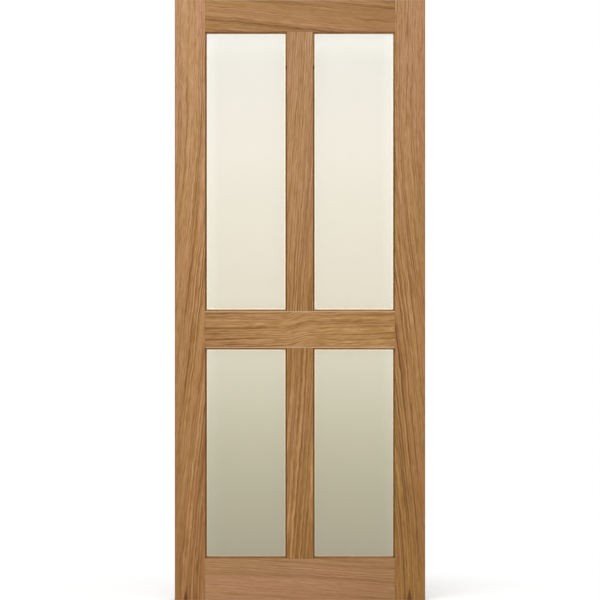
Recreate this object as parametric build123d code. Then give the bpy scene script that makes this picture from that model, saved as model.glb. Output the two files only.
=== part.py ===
from build123d import *
import os

# A bare glazed door leaf in the shaker manner: plain square oak members, mortised and tenoned together,
# round four lights. Each light holds one pane, gripped between mitred oak beads on both faces.
# Millimetres. X runs across the leaf from the hinge edge, Y from the front face to the back, Z upwards.
# The origin is at the foot of the hinge edge, in the middle of the leaf's thickness.

# Leaf
LEAF_WIDTH = 826.0
LEAF_HEIGHT = 1981.0
LEAF_THICKNESS = 35.0

# Face widths of the oak members, and the height that places the lock rail
STILE_WIDTH = 100.0
TOP_RAIL_WIDTH = 106.0
LOCK_RAIL_WIDTH = 122.0
BOTTOM_RAIL_WIDTH = 138.0
MUNTIN_WIDTH = 86.0
UPPER_LIGHT_HEIGHT = 921.0

# Blind mortise and tenon joints, with room for glue round each tenon
TENON_THICKNESS = 12.0
TENON_SHOULDER = 18.0
RAIL_TENON_LENGTH = 45.0
MUNTIN_TENON_LENGTH = 30.0
GLUE_GAP = 0.2

# The round that eases every long arris of a member, machined before assembly
ARRIS_EASE = 1.5

# Glass and the beads that hold it
GLASS_THICKNESS = 4.0
GLASS_EDGE_GAP = 1.5
BEAD_SIGHT = 5.0
BEAD_SETBACK = 7.0
BEAD_EASE = 1.5

# Where the members and the lights lie
light_width = (LEAF_WIDTH - 2 * STILE_WIDTH - MUNTIN_WIDTH) / 2
between_stiles = LEAF_WIDTH - 2 * STILE_WIDTH
right_stile_x = LEAF_WIDTH - STILE_WIDTH
muntin_x = STILE_WIDTH + light_width
right_light_x = muntin_x + MUNTIN_WIDTH
top_rail_z = LEAF_HEIGHT - TOP_RAIL_WIDTH
upper_light_z = top_rail_z - UPPER_LIGHT_HEIGHT
lock_rail_z = upper_light_z - LOCK_RAIL_WIDTH
lower_light_height = lock_rail_z - BOTTOM_RAIL_WIDTH
bead_depth = (LEAF_THICKNESS - GLASS_THICKNESS) / 2 - BEAD_SETBACK


def slab(x, z, width, height, thickness):
    """A board of the given face, standing in the middle of the leaf's thickness."""
    board = Box(width, thickness, height, align=(Align.MIN, Align.CENTER, Align.MIN))
    return Pos(x, 0, z) * board


def member(x, z, width, height, grain):
    """A board of the leaf's whole thickness, with the arrises along its grain eased."""
    board = slab(x, z, width, height, LEAF_THICKNESS)
    return fillet(board.edges().filter_by(grain), radius=ARRIS_EASE)


def rail_tongue(z, rail_width, gap=0.0):
    """The tenons at both ends of a rail, joined through it. A gap makes it the tool that cuts the mortises."""
    reach = RAIL_TENON_LENGTH + gap
    return slab(
        STILE_WIDTH - reach,
        z + TENON_SHOULDER - gap,
        between_stiles + 2 * reach,
        rail_width - 2 * TENON_SHOULDER + 2 * gap,
        TENON_THICKNESS + 2 * gap,
    )


def muntin_tongue(z, light_height, gap=0.0):
    """The tenons at the head and foot of a muntin, joined through it, or the tool that cuts their mortises."""
    reach = MUNTIN_TENON_LENGTH + gap
    return slab(
        muntin_x + TENON_SHOULDER - gap,
        z - reach,
        MUNTIN_WIDTH - 2 * TENON_SHOULDER + 2 * gap,
        light_height + 2 * reach,
        TENON_THICKNESS + 2 * gap,
    )


def mitred_bead(length):
    """A front bead for the foot of a light, its outer edge on the X axis and its sight edge above that."""
    outline = Polygon(
        (-length / 2, 0),
        (length / 2, 0),
        (length / 2 - BEAD_SIGHT, BEAD_SIGHT),
        (-length / 2 + BEAD_SIGHT, BEAD_SIGHT),
        align=None,
    )
    bead = extrude(Plane.XZ.offset(GLASS_THICKNESS / 2) * outline, amount=bead_depth)
    sight_arris = bead.edges().filter_by(Axis.X).group_by(Axis.Z)[-1].sort_by(Axis.Y)[0]
    return fillet(sight_arris, radius=BEAD_EASE)


def glazing(x, z, height):
    """The pane of one light and its eight beads, by the end of each one's name."""
    gap = GLASS_EDGE_GAP
    pieces = {"pane": slab(x + gap, z + gap, light_width - 2 * gap, height - 2 * gap, GLASS_THICKNESS)}
    middle_x = x + light_width / 2
    middle_z = z + height / 2
    across = mitred_bead(light_width)
    upright = mitred_bead(height)
    front_beads = {
        "bottom": Pos(middle_x, 0, z) * across,
        "top": Pos(middle_x, 0, z + height) * Rot(0, 180, 0) * across,
        "left": Pos(x, 0, middle_z) * Rot(0, 90, 0) * upright,
        "right": Pos(x + light_width, 0, middle_z) * Rot(0, -90, 0) * upright,
    }
    for edge, bead in front_beads.items():
        pieces[f"front_{edge}_bead"] = bead
        pieces[f"back_{edge}_bead"] = mirror(bead, about=Plane.XZ)
    return pieces


# The four lights, as left edge, foot and height
lights = {
    "upper_left": (STILE_WIDTH, upper_light_z, UPPER_LIGHT_HEIGHT),
    "upper_right": (right_light_x, upper_light_z, UPPER_LIGHT_HEIGHT),
    "lower_left": (STILE_WIDTH, BOTTOM_RAIL_WIDTH, lower_light_height),
    "lower_right": (right_light_x, BOTTOM_RAIL_WIDTH, lower_light_height),
}

# The three rails, as foot and face width, and the two muntins, as foot and height
rails = {
    "top_rail": (top_rail_z, TOP_RAIL_WIDTH),
    "lock_rail": (lock_rail_z, LOCK_RAIL_WIDTH),
    "bottom_rail": (0.0, BOTTOM_RAIL_WIDTH),
}
muntins = {
    "upper_muntin": (upper_light_z, UPPER_LIGHT_HEIGHT),
    "lower_muntin": (BOTTOM_RAIL_WIDTH, lower_light_height),
}

rail_mortises = [rail_tongue(z, width, GLUE_GAP) for z, width in rails.values()]
muntin_mortises = [muntin_tongue(z, height, GLUE_GAP) for z, height in muntins.values()]

pieces = {}

# Stiles run the whole height and are mortised for the rails
for name, x in (("left_stile", 0.0), ("right_stile", right_stile_x)):
    pieces[name] = member(x, 0, STILE_WIDTH, LEAF_HEIGHT, Axis.Z) - rail_mortises

# Rails fit between the stiles and are mortised for the muntins
for name, (z, width) in rails.items():
    rail = member(STILE_WIDTH, z, between_stiles, width, Axis.X)
    pieces[name] = rail + rail_tongue(z, width) - muntin_mortises

# Muntins stand between the rails
for name, (z, height) in muntins.items():
    muntin = member(muntin_x, z, MUNTIN_WIDTH, height, Axis.Z)
    pieces[name] = muntin + muntin_tongue(z, height)

# Each light is glazed once the members are together
for light, place in lights.items():
    for ending, piece in glazing(*place).items():
        pieces[f"{light}_{ending}"] = piece

os.makedirs("parts", exist_ok=True)
for name, piece in pieces.items():
    export_step(piece, f"parts/{name}.step")
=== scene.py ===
from math import radians

import bmesh
import bpy
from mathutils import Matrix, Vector


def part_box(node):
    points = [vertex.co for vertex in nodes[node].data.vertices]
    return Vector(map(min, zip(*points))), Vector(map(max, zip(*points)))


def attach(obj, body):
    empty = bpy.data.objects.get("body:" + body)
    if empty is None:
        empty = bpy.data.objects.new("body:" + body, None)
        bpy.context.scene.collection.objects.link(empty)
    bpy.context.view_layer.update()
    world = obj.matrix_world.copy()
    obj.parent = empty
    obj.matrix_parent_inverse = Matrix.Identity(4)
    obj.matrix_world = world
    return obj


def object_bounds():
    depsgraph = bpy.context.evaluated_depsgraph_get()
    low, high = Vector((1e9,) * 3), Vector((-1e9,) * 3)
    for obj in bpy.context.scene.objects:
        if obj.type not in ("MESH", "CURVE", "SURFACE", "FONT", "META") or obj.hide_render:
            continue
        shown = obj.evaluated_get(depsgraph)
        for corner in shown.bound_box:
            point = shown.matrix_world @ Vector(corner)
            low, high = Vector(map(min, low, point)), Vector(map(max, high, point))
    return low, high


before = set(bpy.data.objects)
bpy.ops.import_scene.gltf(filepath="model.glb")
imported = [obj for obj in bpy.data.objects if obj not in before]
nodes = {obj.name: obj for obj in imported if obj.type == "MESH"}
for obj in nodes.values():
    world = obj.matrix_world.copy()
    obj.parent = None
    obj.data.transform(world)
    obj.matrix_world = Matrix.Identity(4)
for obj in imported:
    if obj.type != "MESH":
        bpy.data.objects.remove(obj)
cad_low, cad_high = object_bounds()

# The stiles are the two long boards of solid oak that run from head to foot. Each is planed square,
# its arrises are eased, and it is mortised for the rails. The lines of both lean inwards on the way
# up, and the wood is browner and the lines smoother towards the foot.


class Wire:
    """A socket in a node tree. Sums on it add Math nodes, and node() adds a node of any other kind."""

    def __init__(self, tree, socket=None):
        self.tree = tree
        self.socket = socket

    def node(self, kind, settings, sockets):
        """Adds a node, sets it up, fills or links its sockets, and gives its first output in use."""
        made = self.tree.nodes.new(kind if "Node" in kind else "ShaderNode" + kind)
        for name, value in settings.items():
            if name == "stops":
                stops = made.color_ramp.elements
                while len(stops) < len(value):
                    stops.new(1.0)
                for stop, (position, colour) in zip(stops, value):
                    stop.position = position
                    stop.color = colour
            else:
                setattr(made, name, value)
        for name, value in sockets.items():
            named = [s for s in made.inputs if s.enabled and s.name == name]
            socket = named[0] if named else made.inputs[name]
            if isinstance(value, Wire):
                self.tree.links.new(value.socket, socket)
            else:
                socket.default_value = value
        shown = [s for s in made.outputs if s.enabled]
        return Wire(self.tree, shown[0] if shown else None)

    def math(self, operation, *values):
        """Adds a Math node on one, two or three values."""
        return self.node("Math", {"operation": operation}, dict(enumerate(values)))

    def __getitem__(self, output):
        return Wire(self.tree, self.socket.node.outputs[output])

    def __add__(self, other):
        return self.math("ADD", self, other)

    def __radd__(self, other):
        return self.math("ADD", other, self)

    def __sub__(self, other):
        return self.math("SUBTRACT", self, other)

    def __rsub__(self, other):
        return self.math("SUBTRACT", other, self)

    def __mul__(self, other):
        return self.math("MULTIPLY", self, other)

    def __rmul__(self, other):
        return self.math("MULTIPLY", other, self)

    def __truediv__(self, other):
        return self.math("DIVIDE", self, other)

    def __rtruediv__(self, other):
        return self.math("DIVIDE", other, self)

    def __neg__(self):
        return 0.0 - self

    def __abs__(self):
        return self.math("ABSOLUTE", self)


def new_material(name):
    """An empty material, and the coordinates of its piece as the first wire in it."""
    material = bpy.data.materials.new(name)
    material.use_nodes = True
    material.node_tree.nodes.clear()
    return material, Wire(material.node_tree).node("TexCoord", {}, {})["Object"]


def lay_finish(place, sockets):
    """Ends a material in one Principled shader."""
    shader = place.node("BsdfPrincipled", {}, sockets)
    place.node("OutputMaterial", {"is_active_output": True}, {"Surface": shader})


def tint(red, green, blue):
    """A colour as seen on a screen, 0 to 255, as Blender's scene colour, by the sRGB curve."""
    return tuple(((c / 255 + 0.055) / 1.055) ** 2.4 for c in (red, green, blue)) + (1.0,)


def rise(value, low, high):
    """0 below low, 1 above high, and a smooth climb between them."""
    span = {"Value": value, "From Min": low, "From Max": high}
    return value.node("MapRange", {"interpolation_type": "SMOOTHSTEP"}, span)


def cloud(spot, cells, shift=(0.0, 0.0, 0.0), detail=2.0):
    """Soft noise about 0 in the mean, with so many cells to each unit of the spot's three axes."""
    moved = spot.node("VectorMath", {"operation": "MULTIPLY_ADD"}, {0: spot, 1: cells, 2: shift})
    noise = spot.node("TexNoise", {}, {"Vector": moved, "Scale": 1.0, "Detail": detail, "Roughness": 0.5})
    noise_mean = 0.5
    return noise["Fac"] - noise_mean


def blend(first, second, share):
    """One colour mixed into another by a share."""
    return share.node("Mix", {"data_type": "RGBA"}, {"Factor": share, "A": first, "B": second})


def stain(colour, cast, share):
    """A colour multiplied by a cast, in some places more than in others, and never past white."""
    settings = {"data_type": "RGBA", "blend_type": "MULTIPLY", "clamp_result": True}
    return share.node("Mix", settings, {"Factor": share, "A": colour, "B": cast})


# The cast of each kind of mark in the oak: below 1 it darkens the wood, above 1 it lightens it
outer_cast = (0.93, 0.93, 0.90, 1.0)
patch_cast = (0.94, 0.98, 0.84, 1.0)
pale_streak_cast = (1.34, 1.42, 1.68, 1.0)
dark_streak_cast = (0.66, 0.54, 0.30, 1.0)
ring_line_cast = (0.48, 0.34, 0.10, 1.0)
fibre_cast = (0.77, 0.68, 0.46, 1.0)
dash_cast = (0.84, 0.77, 0.59, 1.0)
pore_cast = (0.66, 0.54, 0.32, 1.0)
fleck_cast = (0.44, 0.31, 0.09, 1.0)


def crosswise(grain):
    """The axis across the face of a board whose grain runs along X or Z."""
    return "X" if grain == "Z" else "Z"


def oak(
    name,
    grain,
    ends,
    tones,
    lean,
    figure,
    seed,
    pale=None,
    ring_width=0.008,
    grit=1.0,
    ripple=(0.006, 0.006, 0.006),
    middle=0.0,
    leaning=None,
    outer=None,
    arris=None,
    swirl=None,
    fleck=None,
):
    """Lacquered oak, its growth rings crossing the faces as long soft lines.

    grain is the axis that the board runs along, ends are where it starts and stops there, and middle is
    its middle across the grain. tones are its colours at the start, halfway and at the end. In the same
    three places figure is how dark the lines are, pale how light the streaks between them, and ripple how
    far the lines waver. lean is how far the lines move across the board for each length along it, within
    the stretch named by leaning. grit is how strongly the fine fibres show.

    outer is the side, as a sign, that lies on the leaf's outer edge, where the board is plainer. arris is
    the painted shade or painted highlight on the long edges, their distance from the middle and how far in
    it reaches. swirl is where the lines start to climb, where they stop and how far they get. fleck is the
    place across, the height and the half width of a dark fleck at the foot.
    """
    material, place = new_material(name)
    parts = place.node("SeparateXYZ", {}, {"Vector": place})
    along = parts[grain]
    across = parts[crosswise(grain)] - middle
    depth = parts["Y"]
    halfway = sum(ends) / 2
    to_middle = rise(along, ends[0], halfway)
    past_middle = rise(along, halfway, ends[1])

    def graded(shares):
        """A share that changes from the start of the board to its middle, and on to its end."""
        first, waist, last = shares
        return first + (waist - first) * to_middle + (last - waist) * past_middle

    def spot(measure):
        """A spot for noise: a measure across the board, the depth in it and the place along it."""
        return place.node("CombineXYZ", {}, {"X": measure, "Y": depth, "Z": along})

    # Growth rings, counted across the board, which lean and sway along it
    lean_start, lean_end = leaning or ends
    lean_ease = 0.3
    stretch = along.math("SMOOTH_MAX", along, lean_start, lean_ease)
    stretch = along.math("SMOOTH_MIN", stretch, lean_end, lean_ease)
    board = spot(across)
    broad_cloud = cloud(board, cells=(6.0, 6.0, 1.7), shift=(seed, 0.0, 0.0))
    small_cloud = cloud(board, cells=(28.0, 28.0, 9.0), shift=(-seed, 0.0, 0.0))
    fine_cloud = cloud(board, cells=(40.0, 40.0, 24.0), shift=(0.0, seed, 0.0))
    ring_slope = 0.6
    broad_sway = 0.018
    small_sway = 0.009
    run = across + ring_slope * depth - lean * stretch
    run = run + broad_sway * broad_cloud + small_sway * small_cloud + graded(ripple) * fine_cloud
    if swirl:
        swirl_start, swirl_end, swirl_climb = swirl
        run = run - swirl_climb * rise(along, swirl_start, swirl_end)
    even_ring = run / ring_width
    unevenness = 2.2
    ring = even_ring + unevenness * cloud(spot(even_ring), cells=(0.4, 0.0, 0.6), shift=(0.0, seed, 0.0))

    # Dark lines of early wood, stronger in some rings than in others
    rings = spot(ring)
    through_ring = ring.math("FRACT", ring)
    darkest = 0.12
    faded = 0.70
    early_wood = rise(through_ring, 0.0, darkest) * (1.0 - rise(through_ring, darkest, faded))
    bold_span = (-0.15, 0.12)
    boldness = rise(cloud(rings, cells=(0.5, 0.0, 1.2), shift=(0.0, seed, 0.0)), *bold_span)
    lines = early_wood * boldness

    # Streaks, patches, fibres, short dashes and pores that follow the rings
    streaks = cloud(rings, cells=(0.8, 4.0, 1.6), shift=(0.0, seed, 0.0), detail=3.0)
    patches = cloud(rings, cells=(0.16, 2.0, 1.4), shift=(seed, 0.0, 0.0))
    fibres = cloud(rings, cells=(2.6, 120.0, 13.0), detail=3.0)
    dashes = cloud(rings, cells=(3.4, 120.0, 34.0), shift=(50.0, 0.0, 0.0), detail=3.0)
    pore_span = (0.10, 0.22)
    pores = rise(cloud(rings, cells=(24.0, 900.0, 110.0)), *pore_span)

    # The board's own colour, stained by each kind of mark in turn
    strength = graded(figure)
    half_as_strong = [0.5 * share for share in figure]
    glow = graded(pale or half_as_strong)
    colour = blend(blend(tones[0], tones[1], to_middle), tones[2], past_middle)
    if outer:
        outer_span = (0.010, 0.036)
        calm = 0.6
        outer_side = rise(across * outer, *outer_span)
        plainer = 1.0 - calm * outer_side
        strength = strength * plainer
        glow = glow * plainer
        colour = stain(colour, outer_cast, outer_side)
    patch_span = (-0.14, 0.14)
    streak_span = (0.02, 0.16)
    fibre_span = (-0.10, 0.18)
    pore_share = 0.5
    colour = stain(colour, patch_cast, rise(patches, *patch_span))
    colour = stain(colour, pale_streak_cast, glow * rise(-streaks, *streak_span))
    colour = stain(colour, dark_streak_cast, strength * rise(streaks, *streak_span))
    colour = stain(colour, ring_line_cast, strength * lines)
    colour = stain(colour, fibre_cast, grit * rise(fibres, *fibre_span))
    colour = stain(colour, dash_cast, grit * rise(dashes, *fibre_span))
    colour = stain(colour, pore_cast, pore_share * pores)

    # A painted shade, and on the lock rail a painted highlight, runs along each long edge and stops just
    # short of the board's side, which keeps the wood's own colour
    if arris:
        painted_edge_shading, half, reach = arris
        full_reach = 0.4 * reach
        stop_start = 0.0004
        stop_end = 0.0001
        edge_share = 0.85
        edge = across * outer if outer else abs(across)
        short_of_side = 1.0 - rise(edge, half - stop_start, half - stop_end)
        on_arris = rise(edge, half - reach, half - full_reach) * short_of_side
        colour = blend(colour, painted_edge_shading, edge_share * on_arris)

    # A fleck is widest at the foot of the board, and comes to a ragged point
    if fleck:
        fleck_across, fleck_height, fleck_half = fleck
        raggedness = 0.006
        fading_span = (-0.003, 0.0015)
        spread = (1.0 - along / fleck_height) * fleck_half
        past_fleck = abs(across - fleck_across) - spread + raggedness * small_cloud
        colour = stain(colour, fleck_cast, 1.0 - rise(past_fleck, *fading_span))

    # The lacquer follows the fibres, pores and lines, and is duller over fibres and pores
    fibre_height, pore_depth, line_depth = 0.35, 0.8, 0.3
    grooves = fibre_height * fibres - pore_depth * pores - line_depth * lines
    bump = place.node("Bump", {}, {"Strength": 0.35, "Distance": 0.0002, "Height": grooves})
    satin_sheen, fibre_dulling, pore_dulling = 0.46, 0.25, 0.18
    lacquer = {
        "Base Color": colour,
        "Roughness": satin_sheen + fibre_dulling * fibres + pore_dulling * pores,
        "Specular IOR Level": 0.35,
        "Normal": bump,
    }
    lay_finish(place, lacquer)
    return material


def ends_of(node, axis):
    """Where a piece starts and stops along X, Y or Z."""
    low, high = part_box(node)
    number = "XYZ".index(axis)
    return low[number], high[number]


def middle_of(node, axis):
    """The middle of a piece along X, Y or Z."""
    return sum(ends_of(node, axis)) / 2


def half_of(node, axis):
    """Half the size of a piece along X, Y or Z."""
    start, stop = ends_of(node, axis)
    return (stop - start) / 2


def dress(node, material):
    """Gives a piece of the frame its finish."""
    nodes[node].data.materials.clear()
    nodes[node].data.materials.append(material)


def dress_board(board, grain, painted_edge_shading, edge_reach, **wood):
    """Gives a board its oak, with the grain along it and its long arrises painted darker as shade, or paler
    as a highlight.
    """
    figured = oak(
        board + "_oak",
        grain,
        ends=ends_of(board, grain),
        middle=middle_of(board, crosswise(grain)),
        arris=(painted_edge_shading, half_of(board, crosswise(grain)), edge_reach),
        **wood,
    )
    dress(board, figured)


inward_lean = 0.115
fleck_height = 0.046
fleck_half = 0.0082


def dress_stile(stile, outer, fleck_across, **wood):
    """Gives a stile its oak, with its outer arris browned by painted shade and a dark fleck at its foot."""
    dress_board(
        stile,
        grain="Z",
        # Painted shade: the eased outer arris is browned as if turned away from the light
        painted_edge_shading=tint(138, 100, 62),
        edge_reach=0.0030,
        lean=-inward_lean * outer,
        leaning=(0.15, 1.45),
        pale=(0.90, 0.45, 0.25),
        ripple=(0.003, 0.006, 0.012),
        outer=outer,
        fleck=(fleck_across, fleck_height, fleck_half),
        **wood,
    )


dress_stile(
    "left_stile",
    outer=-1.0,
    fleck_across=-0.0140,
    tones=(tint(171, 122, 75), tint(185, 137, 93), tint(195, 149, 116)),
    figure=(0.60, 0.92, 0.64),
    seed=96.36,
)
dress_stile(
    "right_stile",
    outer=1.0,
    fleck_across=-0.0020,
    tones=(tint(165, 119, 64), tint(178, 133, 86), tint(185, 141, 106)),
    figure=(0.60, 1.0, 0.45),
    seed=55.1,
)

# The rails are the three level boards of oak between the stiles, tenoned into them at both ends.
# The grain of the top and bottom rails falls a little to the right, and the bottom one is pinker and
# plain. The lock rail is golden, with a swirl in its middle and a painted highlight along its arrises.
# Painted shade: a brown tone along the arrises of the top and bottom rails and the muntins
painted_shade_edge = tint(160, 114, 70)
# Painted highlight: a pale tone along the lock rail's arrises, where they catch the light
painted_highlight_edge = tint(200, 166, 130)

dress_board(
    "top_rail",
    grain="X",
    painted_edge_shading=painted_shade_edge,
    edge_reach=0.0018,
    tones=(tint(173, 128, 84), tint(168, 124, 83), tint(163, 119, 76)),
    lean=-0.105,
    figure=(0.70, 0.70, 0.75),
    grit=0.70,
    ripple=(0.011, 0.011, 0.011),
    seed=54.12,
)
dress_board(
    "lock_rail",
    grain="X",
    painted_edge_shading=painted_highlight_edge,
    edge_reach=0.0045,
    tones=(tint(181, 137, 94), tint(188, 144, 98), tint(191, 146, 99)),
    lean=0.010,
    figure=(0.90, 0.76, 0.86),
    ring_width=0.009,
    grit=1.3,
    ripple=(0.003, 0.003, 0.003),
    swirl=(0.36, 0.45, 0.020),
    seed=30.8,
)
dress_board(
    "bottom_rail",
    grain="X",
    painted_edge_shading=painted_shade_edge,
    edge_reach=0.0018,
    tones=(tint(183, 138, 101), tint(180, 135, 99), tint(173, 129, 90)),
    lean=-0.070,
    figure=(0.42, 0.42, 0.46),
    grit=0.55,
    seed=91.69,
)

# The muntins are the two upright oak bars in the middle of the leaf, tenoned into the rails.
# They are cut from straighter stuff than the stiles, striped light and dark along the grain.


def dress_muntin(muntin, **wood):
    """Gives a muntin its oak, with both its long arrises browned by painted shade."""
    dress_board(muntin, grain="Z", painted_edge_shading=painted_shade_edge, edge_reach=0.0016, lean=0.075, **wood)


dress_muntin(
    "upper_muntin",
    tones=(tint(177, 134, 84), tint(187, 143, 104), tint(186, 143, 111)),
    figure=(1.05, 0.45, 0.55),
    grit=0.90,
    seed=32.5,
)
dress_muntin(
    "lower_muntin",
    tones=(tint(170, 122, 68), tint(175, 129, 81), tint(176, 131, 81)),
    figure=(0.74, 0.62, 0.68),
    pale=(1.0, 0.95, 0.85),
    ring_width=0.010,
    grit=0.90,
    seed=78.6,
)

# The panes are toughened satin glass, one in each light, held between the beads on both faces.
# Nothing shows through them but a soft tone painted into the glass: painted shade that turns it olive at the
# foot of the leaf and cream at its head, a painted glow paler towards the stiles and a fine painted
# highlight beside the beads.
satin, place = new_material("satin_glass")
parts = place.node("SeparateXYZ", {}, {"Vector": place})
height = parts["Z"] / cad_high.z

# Tones by share of the leaf's height, from the foot up: painted shade that darkens the glass towards the
# foot
painted_shade_olive_to_cream = [
    (0.05, tint(172, 165, 139)),
    (0.25, tint(196, 190, 163)),
    (0.45, tint(222, 216, 195)),
    (0.60, tint(230, 223, 206)),
    (0.75, tint(235, 230, 216)),
    (0.90, tint(232, 229, 219)),
    (0.95, tint(242, 240, 231)),
]
tone = height.node("ValToRGB", {"stops": painted_shade_olive_to_cream}, {"Fac": height})

leaf_centre = middle_of("lock_rail", "X")
# Painted light: a glow that makes the glass paler in a margin towards the stiles
painted_glow_cast = (1.055, 1.07, 1.09, 1.0)
margin_start = 0.262
margin_end = 0.300
to_side = abs(parts["X"] - leaf_centre)
tone = stain(tone, painted_glow_cast, rise(to_side, margin_start, margin_end))


def past_edge(value, middle, half):
    """How far a place lies outside a stretch, below 0 inside it."""
    return abs(value - middle) - half


# Painted highlight: a fine pale line on the glass just inside the beads
painted_halo_cast = (1.32, 1.21, 1.11, 1.0)
rim_start = 0.0100
rim_end = 0.0060
upper, lower = "upper_right_pane", "lower_right_pane"
past_side = past_edge(to_side, middle_of(upper, "X") - leaf_centre, half_of(upper, "X"))
past_upper = past_edge(parts["Z"], middle_of(upper, "Z"), half_of(upper, "Z"))
past_lower = past_edge(parts["Z"], middle_of(lower, "Z"), half_of(lower, "Z"))
past_level = past_upper.math("MINIMUM", past_upper, past_lower)
past_pane = past_side.math("MAXIMUM", past_side, past_level)
tone = stain(tone, painted_halo_cast, rise(past_pane, -rim_start, -rim_end))

glass = {
    "Base Color": tone,
    "Roughness": 0.24,
    "IOR": 1.5,
    "Transmission Weight": 0.8,
    "Coat Weight": 0.5,
    "Coat Roughness": 0.04,
}
lay_finish(place, glass)
lights = ("upper_left", "upper_right", "lower_left", "lower_right")
for light in lights:
    dress(light + "_pane", satin)

# The beads are thin strips of oak, mitred at the corners and pinned round each pane on both faces.
# They are painted darker than the boards as the shade in the recess round the glass, so that a fine brown
# line runs round it.
# Those along the lock rail carry less painted shade and are golden like its wood, and the upright ones are
# paler near the head.


def bead_oak(name, grain, ends, tones, seed):
    """Plain oak for the beads, all of it alike but for its tones, which carry painted shade."""
    slight_lean = 0.01
    even_figure = (0.6, 0.6, 0.6)
    return oak(name, grain, ends, tones, lean=slight_lean, figure=even_figure, seed=seed)


leaf_sides = (cad_low.x, cad_high.x)
paling_heights = (1.3, 1.9)
shaded_upright_tones = (tint(139, 93, 46), tint(144, 102, 57), tint(182, 137, 84))
shaded_level_tones = (tint(164, 116, 70), tint(168, 119, 72), tint(172, 122, 74))
lightly_shaded_golden_tones = (tint(170, 132, 95), tint(172, 134, 97), tint(174, 136, 99))
shaded_upright_oak = bead_oak("shaded_upright_bead_oak", "Z", paling_heights, shaded_upright_tones, seed=31.0)
shaded_level_oak = bead_oak("shaded_level_bead_oak", "X", leaf_sides, shaded_level_tones, seed=37.0)
lightly_shaded_golden_oak = bead_oak("lightly_shaded_golden_bead_oak", "X", leaf_sides, lightly_shaded_golden_tones, seed=41.0)
for light in lights:
    outer, inner = ("top", "bottom") if light.startswith("upper") else ("bottom", "top")
    for face in ("front", "back"):
        dress(f"{light}_{face}_left_bead", shaded_upright_oak)
        dress(f"{light}_{face}_right_bead", shaded_upright_oak)
        dress(f"{light}_{face}_{outer}_bead", shaded_level_oak)
        dress(f"{light}_{face}_{inner}_bead", lightly_shaded_golden_oak)

# The pins are fine brads driven through the beads at even spaces, punched level and stopped with
# brown filler, so that each shows as a small round head on both faces of the leaf.
filler, place = new_material("brown_filler")
speckle = cloud(place, cells=(900.0, 900.0, 900.0))
speckle_span = (-0.15, 0.15)
speckle_dulling = 0.3
tone = blend(tint(96, 62, 34), tint(122, 82, 48), rise(speckle, *speckle_span))
lay_finish(place, {"Base Color": tone, "Roughness": 0.7 + speckle_dulling * speckle})


def mesh_of(name, shape):
    """Turns a finished shape into a mesh."""
    mesh = bpy.data.meshes.new(name)
    shape.to_mesh(mesh)
    shape.free()
    return mesh


def put_in(name, data):
    """Puts a mesh, a lamp or a camera in the scene."""
    made = bpy.data.objects.new(name, data)
    bpy.context.scene.collection.objects.link(made)
    return made


corner_space = 0.040
pin_inset = 0.0018
x_axis, z_axis = 0, 2
shape = bmesh.new()
for light in lights:
    for face in ("front", "back"):
        for edge in ("left", "right", "top", "bottom"):
            low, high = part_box(f"{light}_{face}_{edge}_bead")
            along, across = (z_axis, x_axis) if edge in ("left", "right") else (x_axis, z_axis)
            first, last = low.copy(), high.copy()
            first.y = last.y = low.y if face == "front" else high.y
            pin_line = low[across] + pin_inset if edge in ("left", "bottom") else high[across] - pin_inset
            first[across] = last[across] = pin_line
            first[along] += corner_space
            last[along] -= corner_space
            shape.edges.new((shape.verts.new(first), shape.verts.new(last)))
pins = put_in("bead_pins", mesh_of("bead_pins", shape))

pinning = bpy.data.node_groups.new("pinning", "GeometryNodeTree")
for name, kind in (
    ("Lines", "NodeSocketGeometry"),
    ("Spacing", "NodeSocketFloat"),
    ("Head Radius", "NodeSocketFloat"),
    ("Head Depth", "NodeSocketFloat"),
    ("Seed", "NodeSocketInt"),
    ("Filler", "NodeSocketMaterial"),
):
    pinning.interface.new_socket(name, in_out="INPUT", socket_type=kind)
pinning.interface.new_socket("Pins", in_out="OUTPUT", socket_type="NodeSocketGeometry")
given = Wire(pinning).node("NodeGroupInput", {}, {})
curves = given.node("GeometryNodeMeshToCurve", {}, {"Mesh": given["Lines"]})
even = {"Curve": curves, "Length": given["Spacing"]}
spaced = given.node("GeometryNodeResampleCurve", {"mode": "LENGTH"}, even)
head_sides = 12
round_head = {"Vertices": head_sides, "Radius": given["Head Radius"], "Depth": given["Head Depth"]}
head = given.node("GeometryNodeMeshCylinder", {}, round_head)
size = given.node("FunctionNodeRandomValue", {}, {"Min": 0.85, "Max": 1.15, "Seed": given["Seed"]})
face_on = (radians(90), 0.0, 0.0)
turned = {"Points": spaced, "Instance": head, "Rotation": face_on, "Scale": size}
placed = given.node("GeometryNodeInstanceOnPoints", {}, turned)
real = given.node("GeometryNodeRealizeInstances", {}, {"Geometry": placed})
filled = given.node("GeometryNodeSetMaterial", {}, {"Geometry": real, "Material": given["Filler"]})
given.node("NodeGroupOutput", {}, {"Pins": filled})

pin_sizes = {"Spacing": 0.150, "Head Radius": 0.0008, "Head Depth": 0.0005, "Seed": 5, "Filler": filler}
modifier = pins.modifiers.new("pinning", "NODES")
modifier.node_group = pinning
for item in pinning.interface.items_tree:
    if item.name in pin_sizes:
        modifier[item.identifier] = pin_sizes[item.name]
evaluated = pins.evaluated_get(bpy.context.evaluated_depsgraph_get())
pin_heads = bpy.data.meshes.new_from_object(evaluated)
pins.modifiers.remove(modifier)
pins.data = pin_heads
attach(pins, "root")

# Two small dark knots lie side by side in the beads of the upper muntin, near its head.
# Each is part of the bead's own wood, an oval pit with a low rim.
knot_wood, place = new_material("dark_knot")
speckle = cloud(place, cells=(700.0, 700.0, 300.0))
tone = blend(tint(46, 28, 8), tint(72, 46, 16), rise(speckle, *speckle_span))
dull = {"Base Color": tone, "Roughness": 0.8 + speckle_dulling * speckle, "Specular IOR Level": 0.1}
lay_finish(place, dull)

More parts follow.
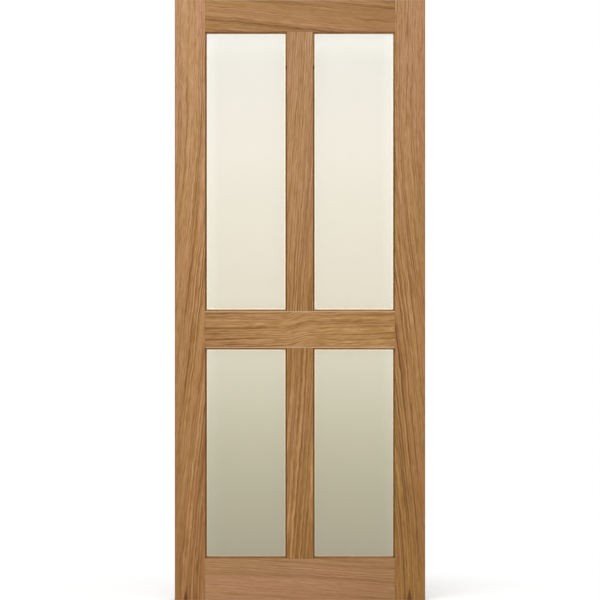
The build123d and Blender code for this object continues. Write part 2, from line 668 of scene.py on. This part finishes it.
knot_width = 0.0049
knot_height = 0.0120
knot_z = 1.758
rim_lift = 0.0004
pit_lift = 0.0001
shape = bmesh.new()
for bead in ("upper_left_front_right_bead", "upper_right_front_left_bead"):
    bead_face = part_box(bead)[0].y
    pit = bmesh.ops.create_uvsphere(shape, u_segments=20, v_segments=12, radius=1.0)
    for vert in pit["verts"]:
        side, front, up = vert.co
        share = side * side + up * up
        # The rim is highest halfway out, and the back is sunk in the bead
        rim = 4.0 * share * (1.0 - share)
        lift = rim_lift * rim + pit_lift if front < 0.0 else -rim_lift * front
        vert.co = (
            middle_of(bead, "X") + side * knot_width / 2,
            bead_face - lift,
            knot_z + up * knot_height / 2,
        )
knots = put_in("bead_knots", mesh_of("bead_knots", shape))
knots.data.materials.append(knot_wood)
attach(knots, "root")

# The floor is a plain pale sheet that keeps the leaf's shadow and is white further off.
# A broad soft lamp stands in front of the leaf and one behind it, under an even white sky.


def in_view(start):
    """Above 0 for what is seen straight, in gloss or through glass, and 0 for light on its way to a face."""
    ray = start.node("LightPath", {}, {})
    return ray["Is Camera Ray"] + ray["Is Glossy Ray"] + ray["Is Transmission Ray"]


white = (1.0, 1.0, 1.0, 1.0)
pale = (0.90, 0.90, 0.89, 1.0)

# Where the sheet starts to whiten and where it is white, as squares of the distance from the leaf
whitening_span = (0.05, 1.2)
floor_material, place = new_material("pale_floor")
parts = place.node("SeparateXYZ", {}, {"Vector": place})
off_centre = parts["X"] - leaf_centre
distance_squared = off_centre * off_centre + parts["Y"] * parts["Y"]
whiteness = in_view(place) * rise(distance_squared, *whitening_span)
pale_sheet = place.node("BsdfDiffuse", {}, {"Color": pale})
white_sheet = place.node("Emission", {}, {"Color": white, "Strength": 1.0})
faded = place.node("MixShader", {}, {0: whiteness, 1: pale_sheet, 2: white_sheet})
place.node("OutputMaterial", {"is_active_output": True}, {"Surface": faded})

floor_reach = 12.0
shape = bmesh.new()
bmesh.ops.create_grid(shape, x_segments=2, y_segments=2, size=floor_reach)
floor = put_in("floor", mesh_of("floor", shape))
floor.data.materials.append(floor_material)

sky_light = 0.8
sky = bpy.data.worlds.new("white_sky")
sky.use_nodes = True
sky.node_tree.nodes.clear()
start = Wire(sky.node_tree)
strength = sky_light + (1.0 - sky_light) * in_view(start)
backdrop = start.node("Background", {}, {"Color": white, "Strength": strength})
start.node("OutputWorld", {"is_active_output": True}, {"Surface": backdrop})
bpy.context.scene.world = sky

lamp_size = 2.4
leaf_middle = (cad_low + cad_high) / 2
for name, spot, power in (
    ("front_lamp", Vector((-0.3, -2.6, 4.6)), 70.0),
    ("back_lamp", Vector((1.1, 2.2, 5.0)), 60.0),
):
    lamp = bpy.data.lights.new(name, "AREA")
    lamp.shape = "SQUARE"
    lamp.size = lamp_size
    lamp.energy = power
    holder = put_in(name, lamp)
    holder.location = spot
    holder.rotation_euler = (leaf_middle - spot).to_track_quat("-Z", "Y").to_euler()

# The camera stands square to the front, level with the leaf's middle and well back, with a long
# lens. The leaf just fills the height of its picture.
camera_distance = 9.0
sensor = 36.0
overfill = 1.001
camera = bpy.data.cameras.new("camera")
camera.sensor_width = sensor
camera.lens = overfill * sensor * camera_distance / (cad_high.z - cad_low.z)
stand = put_in("camera", camera)
stand.location = (leaf_middle.x, cad_low.y - camera_distance, leaf_middle.z)
stand.rotation_euler = (radians(90), 0.0, 0.0)
bpy.context.scene.camera = stand
bpy.context.scene.view_settings.view_transform = "Standard"
